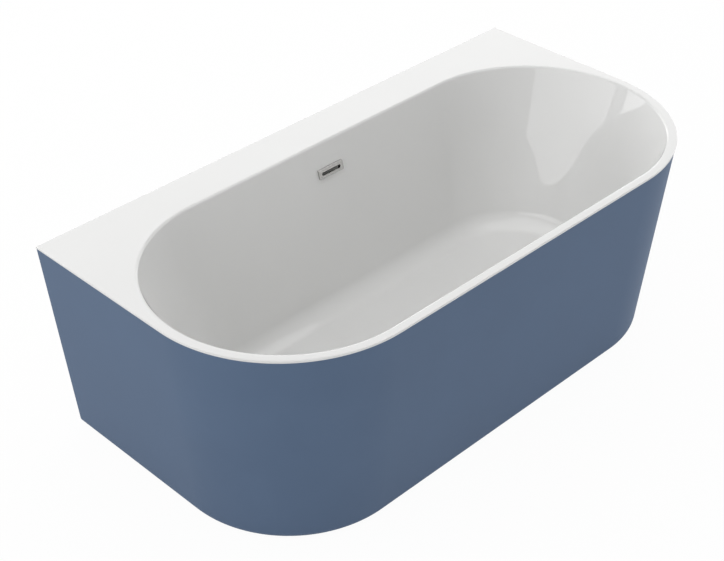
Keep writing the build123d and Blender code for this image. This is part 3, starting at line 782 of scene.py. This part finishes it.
def wasteFlange():
    sizes = flangeSizes
    outer = roundCorner(sizes["rim"], sizes["top"], sizes["round"], (-1, -1))
    inner = roundCorner(sizes["throat"], sizes["top"], sizes["round"], (1, -1))
    profile = [(sizes["throat"], sizes["bottom"]), (sizes["tube"], sizes["bottom"]),
               (sizes["tube"], sizes["seat"]), (sizes["rim"], sizes["seat"]), *outer[::-1], *inner,
               (sizes["throat"], sizes["bottom"])]
    flange = turnOnLathe(profile, y=wasteY, steps=72)
    low, high = sizes["strainerBottom"], sizes["strainerTop"]
    boss = turnOnLathe([(sizes["bossBore"], low), (sizes["bossRadius"], low), (sizes["bossRadius"], high),
                        (sizes["bossBore"], high), (sizes["bossBore"], low)], y=wasteY, steps=36)
    easeEdges(boss, 0.6)
    half = sizes["armWidth"] / 2
    arm = addBlock((sizes["bossRadius"] - 0.4, -half, low), (sizes["throat"] + 0.5, half, high))
    easeEdges(arm, 0.6)
    place = Matrix.Translation((0, basinY, 0))
    turns = [math.pi / 4 + quarter * math.pi / 2 for quarter in range(4)]
    arms = copyTo(arm, [place @ Matrix.Rotation(turn, 4, "Z") for turn in turns])
    return joinPieces([flange, boss, arms])


def plugCap():
    sizes = capSizes
    radius, edge = sizes["radius"], sizes["edge"]
    rise = sizes["crown"] - edge
    shoulder = radius - sizes["round"]
    points = [(0, sizes["bottom"]), (radius - 0.6, sizes["bottom"]), (radius, sizes["bottom"] + 0.6)]
    points += roundCorner(radius, edge, sizes["round"], (-1, -1))
    for step in range(1, sizes["crownSteps"] + 1):
        share = 1 - step / sizes["crownSteps"]
        points.append((shoulder * share, edge + rise * (1 - share ** 2)))
    return turnOnLathe(points, y=wasteY, steps=72)


flangePiece = wasteFlange()
smoothFaces(flangePiece)
settle(flangePiece, "wasteFlange", "waste_flange", "chrome")
capPiece = plugCap()
smoothFaces(capPiece, 50)
settle(capPiece, "plugCap", "plug_cap", "chrome", "plug")


# Levelling feet: moulded pads, threaded stems, hexagon nuts and flanged inserts

footSizes = {"pitch": 1.75, "crest": 6, "root": 5.1, "core": 5.3, "threadBottom": 28, "threadTop": 127,
             "top": 129, "bottom": 6.2, "steps": 18, "collarFlats": 19, "collar": (20, 28),
             "nutFlats": 18, "nut": (91.5, 101.5), "insertFlange": (101.5, 103), "insertTop": 118}
feetPlaces = {
    "front_left": (-400, -290),
    "front_right": (400, -290),
    "rear_left": (-400, 340),
    "rear_right": (400, 340),
    "centre": (150, wasteY),
}


def hexBlock(flats, bottom, top):
    # a hexagon with its corners turned down, as on any nut
    blank = addRod(flats / math.sqrt(3), bottom, top, 0, 0, points=6)
    easeEdges(blank, 0.7)
    return blank


def windProfile(points, bottom, pitch, turns, steps):
    # a closed profile that climbs round the Z axis, with both its ends closed
    drawProfile(points)
    bpy.ops.mesh.remove_doubles(threshold=0.00001)
    bpy.ops.transform.translate(value=mm(0, 0, bottom))
    coil = stopEditing()
    applyModifier(coil, "SCREW", {"axis": "Z", "screw_offset": pitch / 1000, "iterations": turns,
                                  "steps": steps, "render_steps": steps, "use_smooth_shade": False})
    editAgain("EDGE")
    choose("edges", lambda edge: len(edge.link_faces) == 1)
    bpy.ops.mesh.fill()
    turnOutwards()
    return stopEditing()


def threadedStem():
    sizes = footSizes
    height = sizes["threadTop"] - sizes["threadBottom"]
    crest, root, pitch = sizes["crest"], sizes["root"], sizes["pitch"]
    flank = [(root, 0), (crest, 0.38 * pitch), (crest, 0.5 * pitch), (root, 0.88 * pitch), (root, 0)]
    thread = windProfile(flank, sizes["threadBottom"], pitch, int(height / pitch) - 1, sizes["steps"])
    core = turnOnLathe([(0, sizes["bottom"]), (crest - 1, sizes["bottom"]), (crest, sizes["bottom"] + 1),
                        (crest, sizes["threadBottom"]), (sizes["core"], sizes["threadBottom"]),
                        (sizes["core"], sizes["top"] - 0.6), (sizes["core"] - 0.6, sizes["top"]),
                        (0, sizes["top"])], steps=32)
    return joinPieces([core, thread, hexBlock(sizes["collarFlats"], *sizes["collar"])])


def footPad():
    lip = roundCorner(25, 5, 0.8, (-1, -1))
    return turnOnLathe([(0, 0), (24.2, 0), (25, 0.8), *lip[::-1], (22.5, 5), (20.6, 6), (13, 14.2),
                        (12, 15.3), (11.3, 16), (6.05, 16), (6.05, 6.1), (0, 6.1)], steps=48)


def lockNut():
    nut = hexBlock(footSizes["nutFlats"], *footSizes["nut"])
    bottom, top = footSizes["nut"]
    drill(nut, [(footSizes["crest"] + 0.05, bottom - 1, top + 1, 0, 0)])
    return nut


def footInsert():
    bore = footSizes["crest"] + 0.05
    low, high = footSizes["insertFlange"]
    top = footSizes["insertTop"]
    return turnOnLathe([(bore, low), (10.6, low), (11, low + 0.4), (11, high), (8.5, high), (8.5, top - 0.5),
                        (8, top), (bore, top), (bore, low)], steps=36)


footModels = {"stem": threadedStem(), "pad": footPad()}
smoothFaces(footModels["stem"], 30)
smoothFaces(footModels["pad"], 30)
footSlots = {"stem": "zinc_steel", "pad": "black_plastic"}
for foot, place in feetPlaces.items():
    for part, model in footModels.items():
        name = f"{part}_{foot}"
        piece = placedCopy(model, Matrix.Translation(mm(*place, 0)))
        settle(piece, name, f"foot_{name}", footSlots[part], name)
for model in footModels.values():
    bpy.data.objects.remove(model)

footMatrices = [Matrix.Translation(mm(*place, 0)) for place in feetPlaces.values()]
nutModels = (("footLockNuts", "foot_lock_nuts", lockNut()), ("footInserts", "foot_inserts", footInsert()))
for name, node, model in nutModels:
    nuts = copyTo(model, footMatrices)
    smoothFaces(nuts, 30)
    settle(nuts, name, node, "zinc_steel")


# Plug spring: open turns of wire inside the cartridge, wound at one fixed length

springSizes = {"radius": 6.2, "wire": 0.5, "wirePoints": 10, "bottom": 122.7, "top": 146.3, "turns": 6,
               "steps": 32, "pressed": 0.66}


def plugSpring():
    sizes = springSizes
    turns = [math.tau * point / sizes["wirePoints"] for point in range(sizes["wirePoints"] + 1)]
    wire = [(sizes["radius"] + sizes["wire"] * math.cos(turn), sizes["wire"] * math.sin(turn))
            for turn in turns]
    pitch = (sizes["top"] - sizes["bottom"]) / sizes["turns"]
    spring = windProfile(wire, sizes["bottom"], pitch, sizes["turns"], sizes["steps"])
    spring.data.transform(Matrix.Translation((0, basinY, 0)))
    return spring


springPiece = plugSpring()
smoothFaces(springPiece, 60)
settle(springPiece, "plugSpring", "plug_spring", "spring_steel")
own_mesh(springPiece)


# Screws: pan heads with a cross recess

screwSizes = {"shank": 2.1, "head": 4.5, "headHeight": 2.5, "recess": 1.1, "recessWidth": 0.9,
              "recessReach": 2.3, "steps": 20}


def panScrew(length):
    # the head hangs below the origin and the shank rises from it
    sizes = screwSizes
    head, tall = sizes["head"], sizes["headHeight"]
    screw = turnOnLathe([(0, -tall), (head - 1.6, -tall), (head - 0.7, -tall + 0.4),
                         (head - 0.15, -tall + 1.1), (head, -0.4), (head - 0.3, 0), (sizes["shank"], 0),
                         (sizes["shank"], length - 1), (sizes["shank"] - 0.8, length), (0, length)],
                        steps=sizes["steps"])
    reach, half = sizes["recessReach"], sizes["recessWidth"] / 2
    for corner in ((reach, half), (half, reach)):
        cutWith(screw, addBlock((-corner[0], -corner[1], -tall - 1), (*corner, -tall + sizes["recess"])))
    return screw


def screwAt(x, y, z, turn=None):
    return Matrix.Translation(mm(x, y, z)) @ (turn or Matrix.Identity(4))


legX = 400
postY = 385
bracketScrewY = -323
screwHole = screwSizes["shank"]
boardY = (wasteY - 90, wasteY + 90)
railScrewPlaces = [(side * legX, y) for side in (-1, 1) for y in boardY]
railScrewPlaces += [(150, wasteY - 36), (150, wasteY + 36)]
strapScrewPlaces = [(side * 510, wasteY + step) for side in (-1, 1) for step in (-10, 10)]
towardsFront = Matrix.Rotation(math.pi / 2, 4, "X")
screwSets = {
    "boardScrews": ("board_screws", [
        (16, [screwAt(x, y, 131) for x, y in railScrewPlaces]),
        (17, [screwAt(x, y, 130) for x, y in strapScrewPlaces]),
    ]),
    "battenScrews": ("batten_screws", [
        (17, [screwAt(side * legX + step, postY, 543) for side in (-1, 1) for step in (-28.5, 28.5)]),
    ]),
    "bracketScrews": ("bracket_screws", [
        (4, [screwAt(side * legX, bracketScrewY, 101) for side in (-1, 1)]),
        (14, [screwAt(side * legX + step, -338, 114, towardsFront)
              for side in (-1, 1) for step in (-27, 27)]),
        (15, [screwAt(side * 720, wasteY + step, 111.5, Matrix.Rotation(side * math.pi / 2, 4, "Y"))
              for side in (-1, 1) for step in (-10, 10)]),
    ]),
}
for name, (node, groups) in screwSets.items():
    screws = joinPieces([copyTo(panScrew(length), matrices) for length, matrices in groups])
    smoothFaces(screws, 30)
    settle(screws, name, node, "zinc_steel")


# Leg rails and deck posts: welded square tube with rounded corners

tubeSizes = {"rail": 30, "wall": 2, "railRound": 3, "railBottom": 103, "railTop": 133, "post": 25,
             "postRound": 2.5, "plate": (70, 30, 3), "plateBottom": 543, "insertHole": 8.5, "driverHole": 6}


def squareTube(low, high, axis, cornerRound):
    # a block with its two ends left open, its long edges rounded and its wall turned inwards
    tube = addBlock(low, high)
    editAgain("FACE")
    choose("faces", lambda face: abs(face.normal[axis]) > 0.9)
    bpy.ops.mesh.delete(type="ONLY_FACE")
    bpy.ops.mesh.select_mode(type="EDGE")
    choose("edges", lambda edge: len(edge.link_faces) == 2)
    bpy.ops.mesh.bevel(offset=cornerRound / 1000, segments=5)
    stopEditing()
    applyModifier(tube, "SOLIDIFY", {"thickness": tubeSizes["wall"] / 1000, "offset": -1,
                                     "use_even_offset": True})
    return tube


def legRail(x, lowY, highY, inserts):
    bottom, top = tubeSizes["railBottom"], tubeSizes["railTop"]
    half = tubeSizes["rail"] / 2
    tube = squareTube((x - half, lowY, bottom), (x + half, highY, top), 1, tubeSizes["railRound"])
    drill(tube, [(tubeSizes["insertHole"], bottom - 2, bottom + 4, x, y) for y in inserts])
    screws = [y for screwX, y in railScrewPlaces if screwX == x]
    drill(tube, [(tubeSizes["driverHole"], bottom - 2, bottom + 4, x, y) for y in screws])
    drill(tube, [(screwHole, top - 4, top + 2, x, y) for y in screws])
    if abs(x) == legX:
        drill(tube, [(screwHole, bottom - 2, bottom + 4, x, bracketScrewY)])
    smoothFaces(tube)
    return tube


def deckPost(x):
    half = tubeSizes["post"] / 2
    plateLong, plateDeep, plateThick = tubeSizes["plate"]
    bottom = tubeSizes["plateBottom"]
    tube = squareTube((x - half, postY - half, tubeSizes["railTop"]), (x + half, postY + half, bottom), 2,
                      tubeSizes["postRound"])
    plate = addBlock((x - plateLong / 2, postY - plateDeep / 2, bottom),
                     (x + plateLong / 2, postY + plateDeep / 2, bottom + plateThick))
    easeEdges(plate, 0.6)
    drill(plate, [(screwHole, bottom - 2, bottom + 5, x + step, postY) for step in (-28.5, 28.5)])
    post = joinPieces([tube, plate])
    smoothFaces(post)
    return post


for side, end in ((-1, "left"), (1, "right")):
    settle(legRail(side * legX, -336, 398, (-290, 340)), f"legRail_{end}", f"leg_rail_{end}", "frame_steel")
    settle(deckPost(side * legX), f"deckPost_{end}", f"deck_post_{end}", "frame_steel")
settle(legRail(150, wasteY - 55, wasteY + 55, (wasteY,)), "centreLegRail", "centre_leg_rail", "frame_steel")


# Brackets and straps: sheet folded once, with a bend radius

foldSizes = {"bracketThick": 2, "bracketBend": 4, "strapThick": 3, "strapBend": 5}


def foldedSheet(corners, edgeTest, fold, bend, thickness):
    # a flat sheet between two corners, one edge of it extruded and the fold rounded;
    # it thickens to the inside
    low, high = corners
    deselectAll()
    middle = [(a + b) / 2000 for a, b in zip(low, high)]
    bpy.ops.mesh.primitive_plane_add(size=1, location=middle)
    startEditing("EDGE")
    choose("verts", lambda vert: True)
    size = [(high[axis] - low[axis]) / 1000 for axis in (0, 1)]
    bpy.ops.transform.resize(value=(*size, 1), center_override=middle)
    choose("edges", edgeTest)
    extrudeBy(*mm(*fold))
    choose("edges", lambda edge: len(edge.link_faces) == 2)
    bpy.ops.mesh.bevel(offset=bend / 1000, segments=6)
    turnOutwards()
    mesh = bmesh.from_edit_mesh(bpy.context.edit_object.data)
    flat = max(mesh.faces, key=lambda face: abs(face.normal.z) * face.calc_area())
    if flat.normal.z * fold[2] > 0:
        bpy.ops.mesh.flip_normals()
    sheet = stopEditing()
    applyModifier(sheet, "SOLIDIFY", {"thickness": thickness / 1000, "offset": -1, "use_even_offset": True})
    easeEdges(sheet, 0.35, degrees=60)
    return sheet


def frontBracket(x):
    bracket = foldedSheet(((x - 40, -340, 101), (x + 40, -306, 101)),
                          lambda edge: all(vert.co.y < -0.3399 for vert in edge.verts), (0, 0, 50),
                          foldSizes["bracketBend"], foldSizes["bracketThick"])
    drill(bracket, [(screwHole, 99, 105, x, bracketScrewY)])
    for step in (-27, 27):
        hole = addRod(screwHole, -3, 3, 0, 0)
        hole.data.transform(screwAt(x + step, -339, 114, towardsFront))
        cutWith(bracket, hole)
    smoothFaces(bracket)
    return bracket


def endStrap(side):
    inner, outer = sorted((side * 490, side * 723))
    strap = foldedSheet(((inner, wasteY - 20, 133), (outer, wasteY + 20, 133)),
                        lambda edge: all(side * vert.co.x > 0.7229 for vert in edge.verts), (0, 0, -43),
                        foldSizes["strapBend"], foldSizes["strapThick"])
    drill(strap, [(screwHole, 128, 136, side * 510, wasteY + step) for step in (-10, 10)])
    for step in (-10, 10):
        hole = addRod(screwHole, -4, 4, 0, 0)
        hole.data.transform(screwAt(side * 721.5, wasteY + step, 111.5, Matrix.Rotation(math.pi / 2, 4, "Y")))
        cutWith(strap, hole)
    smoothFaces(strap)
    return strap


for side, end in ((-1, "left"), (1, "right")):
    settle(frontBracket(side * legX), f"frontBracket_{end}", f"front_bracket_{end}", "zinc_steel")
    settle(endStrap(side), f"endStrap_{end}", f"end_strap_{end}", "zinc_steel")


# Rim batten: planed softwood with its edges eased

battenPiece = addBlock((-765, 365, 546), (765, 405, 566))
easeEdges(battenPiece, 1.5, segments=3)
smoothFaces(battenPiece)
settle(battenPiece, "rimBatten", "rear_rim_batten", "timber")


# CAD nodes that keep their own shape

nodeMaterials = {
    "base_board": resin,
    "front_block": pineAlongX,
    "end_block": pineAlongY,
    "overflow_plate_gasket": shop["mouldedRubber"],
    "overflow_body_gasket": shop["mouldedRubber"],
    # the overflow body's near-black colour is painted shade for the chamber seen through the slot
    "overflow_body": shop["paintedShadePolypropylene"],
    "overflow_screws": shop["brightZincPlate"],
    "overflow_hose": shop["corrugatedHose"],
    "hose_nut": shop["mouldedPolypropylene"],
    "waste_top_seal": shop["mouldedRubber"],
    "waste_bottom_seal": shop["mouldedRubber"],
    "waste_body": shop["mouldedPolypropylene"],
    "plug_seal": shop["mouldedRubber"],
    "plug_stem": shop["turnedBrass"],
    "plug_cartridge": shop["turnedBrass"],
}


def dressNodes():
    for name in sorted(set(nodes) - remodelledNodes):
        starts = [start for start in nodeMaterials if name.startswith(start)]
        giveMaterials(nodes[name], [nodeMaterials[max(starts, key=len)]])


dressNodes()
print("CAD nodes dressed")


# Floor, light and camera

stageLook = {
    "floorSize": 60,
    "floorColour": "#F4F4F4",
    "worldColour": "#FFFFFF",
    "worldStrength": 0.2,
    "paperGlow": 0.96,
    "paperHeight": -0.0005,
}


def seenRays(owner):
    # one for the camera's rays and for reflections
    path = addNode(owner, "LightPath")
    seen = addNode(owner, "Math", {"operation": "MAXIMUM"},
                   {0: path.outputs["Is Camera Ray"], 1: path.outputs["Is Glossy Ray"]})
    return seen.outputs["Value"]


def studioFloor():
    # Seamless white paper: white to the camera and to reflections, and it still takes the bath's shadow
    deselectAll()
    bpy.ops.mesh.primitive_plane_add(size=stageLook["floorSize"], location=(0, 0, stageLook["paperHeight"]))
    floor = bpy.context.object
    floor.name = "studioFloor"
    material = newMaterial("seamlessPaper")
    paper = addNode(material, "BsdfDiffuse", {"Color": toLinear(stageLook["floorColour"])})
    glow = addNode(material, "Emission", {"Color": toLinear("#FFFFFF"), "Strength": 1.0})
    share = addNode(material, "Math", {"operation": "MULTIPLY", 1: stageLook["paperGlow"]},
                    {0: seenRays(material)})
    mix = addNode(material, "MixShader", links={"Fac": share.outputs["Value"], 1: paper.outputs[0],
                                                2: glow.outputs[0]})
    # clear from below, so that the underside can be looked at
    back = addNode(material, "NewGeometry")
    clear = addNode(material, "BsdfTransparent")
    oneSided = addNode(material, "MixShader", links={"Fac": back.outputs["Backfacing"], 1: mix.outputs[0],
                                                     2: clear.outputs[0]})
    finishMaterial(material, oneSided)
    floor.data.materials.append(material)


def studioWorld():
    world = bpy.data.worlds.new("studioWorld")
    bpy.context.scene.world = world
    world.use_nodes = True
    world.node_tree.nodes.clear()
    ambient = addNode(world, "Background", {"Color": toLinear(stageLook["worldColour"]),
                                            "Strength": stageLook["worldStrength"]})
    white = addNode(world, "Background", {"Color": toLinear("#FFFFFF"), "Strength": 1.0})
    mix = addNode(world, "MixShader", links={"Fac": seenRays(world), 1: ambient.outputs[0],
                                             2: white.outputs[0]})
    addNode(world, "OutputWorld", links={"Surface": mix.outputs[0]})


# one large soft lamp overhead, one at each end and one behind, a high one that the flat deck and rim mirror,
# and a low one that fills the front of the skirt;
# each strength is in units of plain white
softboxes = {
    "overheadSoftbox": {"place": (0, 0, 3.2), "faces": (0, 0, -1),
                        "size": (3.6, 3.0), "strength": 1.05},
    "leftSoftbox": {"place": (-3.2, -0.35, 2.05), "faces": (1, 0, 0),
                        "size": (5.7, 2.7), "strength": 1.25},
    "rightSoftbox": {"place": (3.2, 0, 1.35), "faces": (-1, 0, 0),
                        "size": (5.0, 1.3), "strength": 1.5},
    "backSoftbox": {"place": (0, 3.2, 1.35), "faces": (0, -1, 0),
                        "size": (5.0, 1.3), "strength": 1.8},
    "highSoftbox": {"place": (4.8, 4.9, 4.7), "faces": (-0.6, -0.61, -0.52),
                        "size": (7.0, 3.2), "strength": 1.15},
    "lowSoftbox": {"place": (0.85, -3.2, 0.34), "faces": (0, 1, 0),
                        "size": (4.7, 0.6), "strength": 2.2},
}


def addSoftbox(name, box):
    light = bpy.data.lights.new(name, "AREA")
    light.shape = "RECTANGLE"
    light.size, light.size_y = box["size"]
    light.energy = 4 * light.size * light.size_y * box["strength"]
    holder = bpy.data.objects.new(name, light)
    holder.location = box["place"]
    holder.rotation_mode = "QUATERNION"
    holder.rotation_quaternion = Vector(box["faces"]).to_track_quat("-Z", "Y")
    bpy.context.scene.collection.objects.link(holder)


cameraPlace = {
    "location": (-2.3291, -2.2118, 2.5505),
    "turn": -44.33,
    "height": 35.24,
    "roll": -0.47,
    "lens": 76.56,
    "shift": (0.00767, -0.0009),
}


def addCamera():
    camera = bpy.data.objects.new("camera", bpy.data.cameras.new("camera"))
    bpy.context.scene.collection.objects.link(camera)
    camera.data.lens = cameraPlace["lens"]
    camera.data.sensor_width = 36
    camera.data.shift_x, camera.data.shift_y = cameraPlace["shift"]
    turn = Matrix.Rotation(math.radians(cameraPlace["turn"]), 4, "Z")
    tilt = Matrix.Rotation(math.radians(90 - cameraPlace["height"]), 4, "X")
    roll = Matrix.Rotation(math.radians(cameraPlace["roll"]), 4, "Z")
    camera.matrix_world = Matrix.Translation(cameraPlace["location"]) @ turn @ tilt @ roll
    bpy.context.scene.camera = camera


studioFloor()
studioWorld()
for name, box in softboxes.items():
    addSoftbox(name, box)
addCamera()
bpy.context.scene.view_settings.view_transform = "Standard"
print("stage ready")
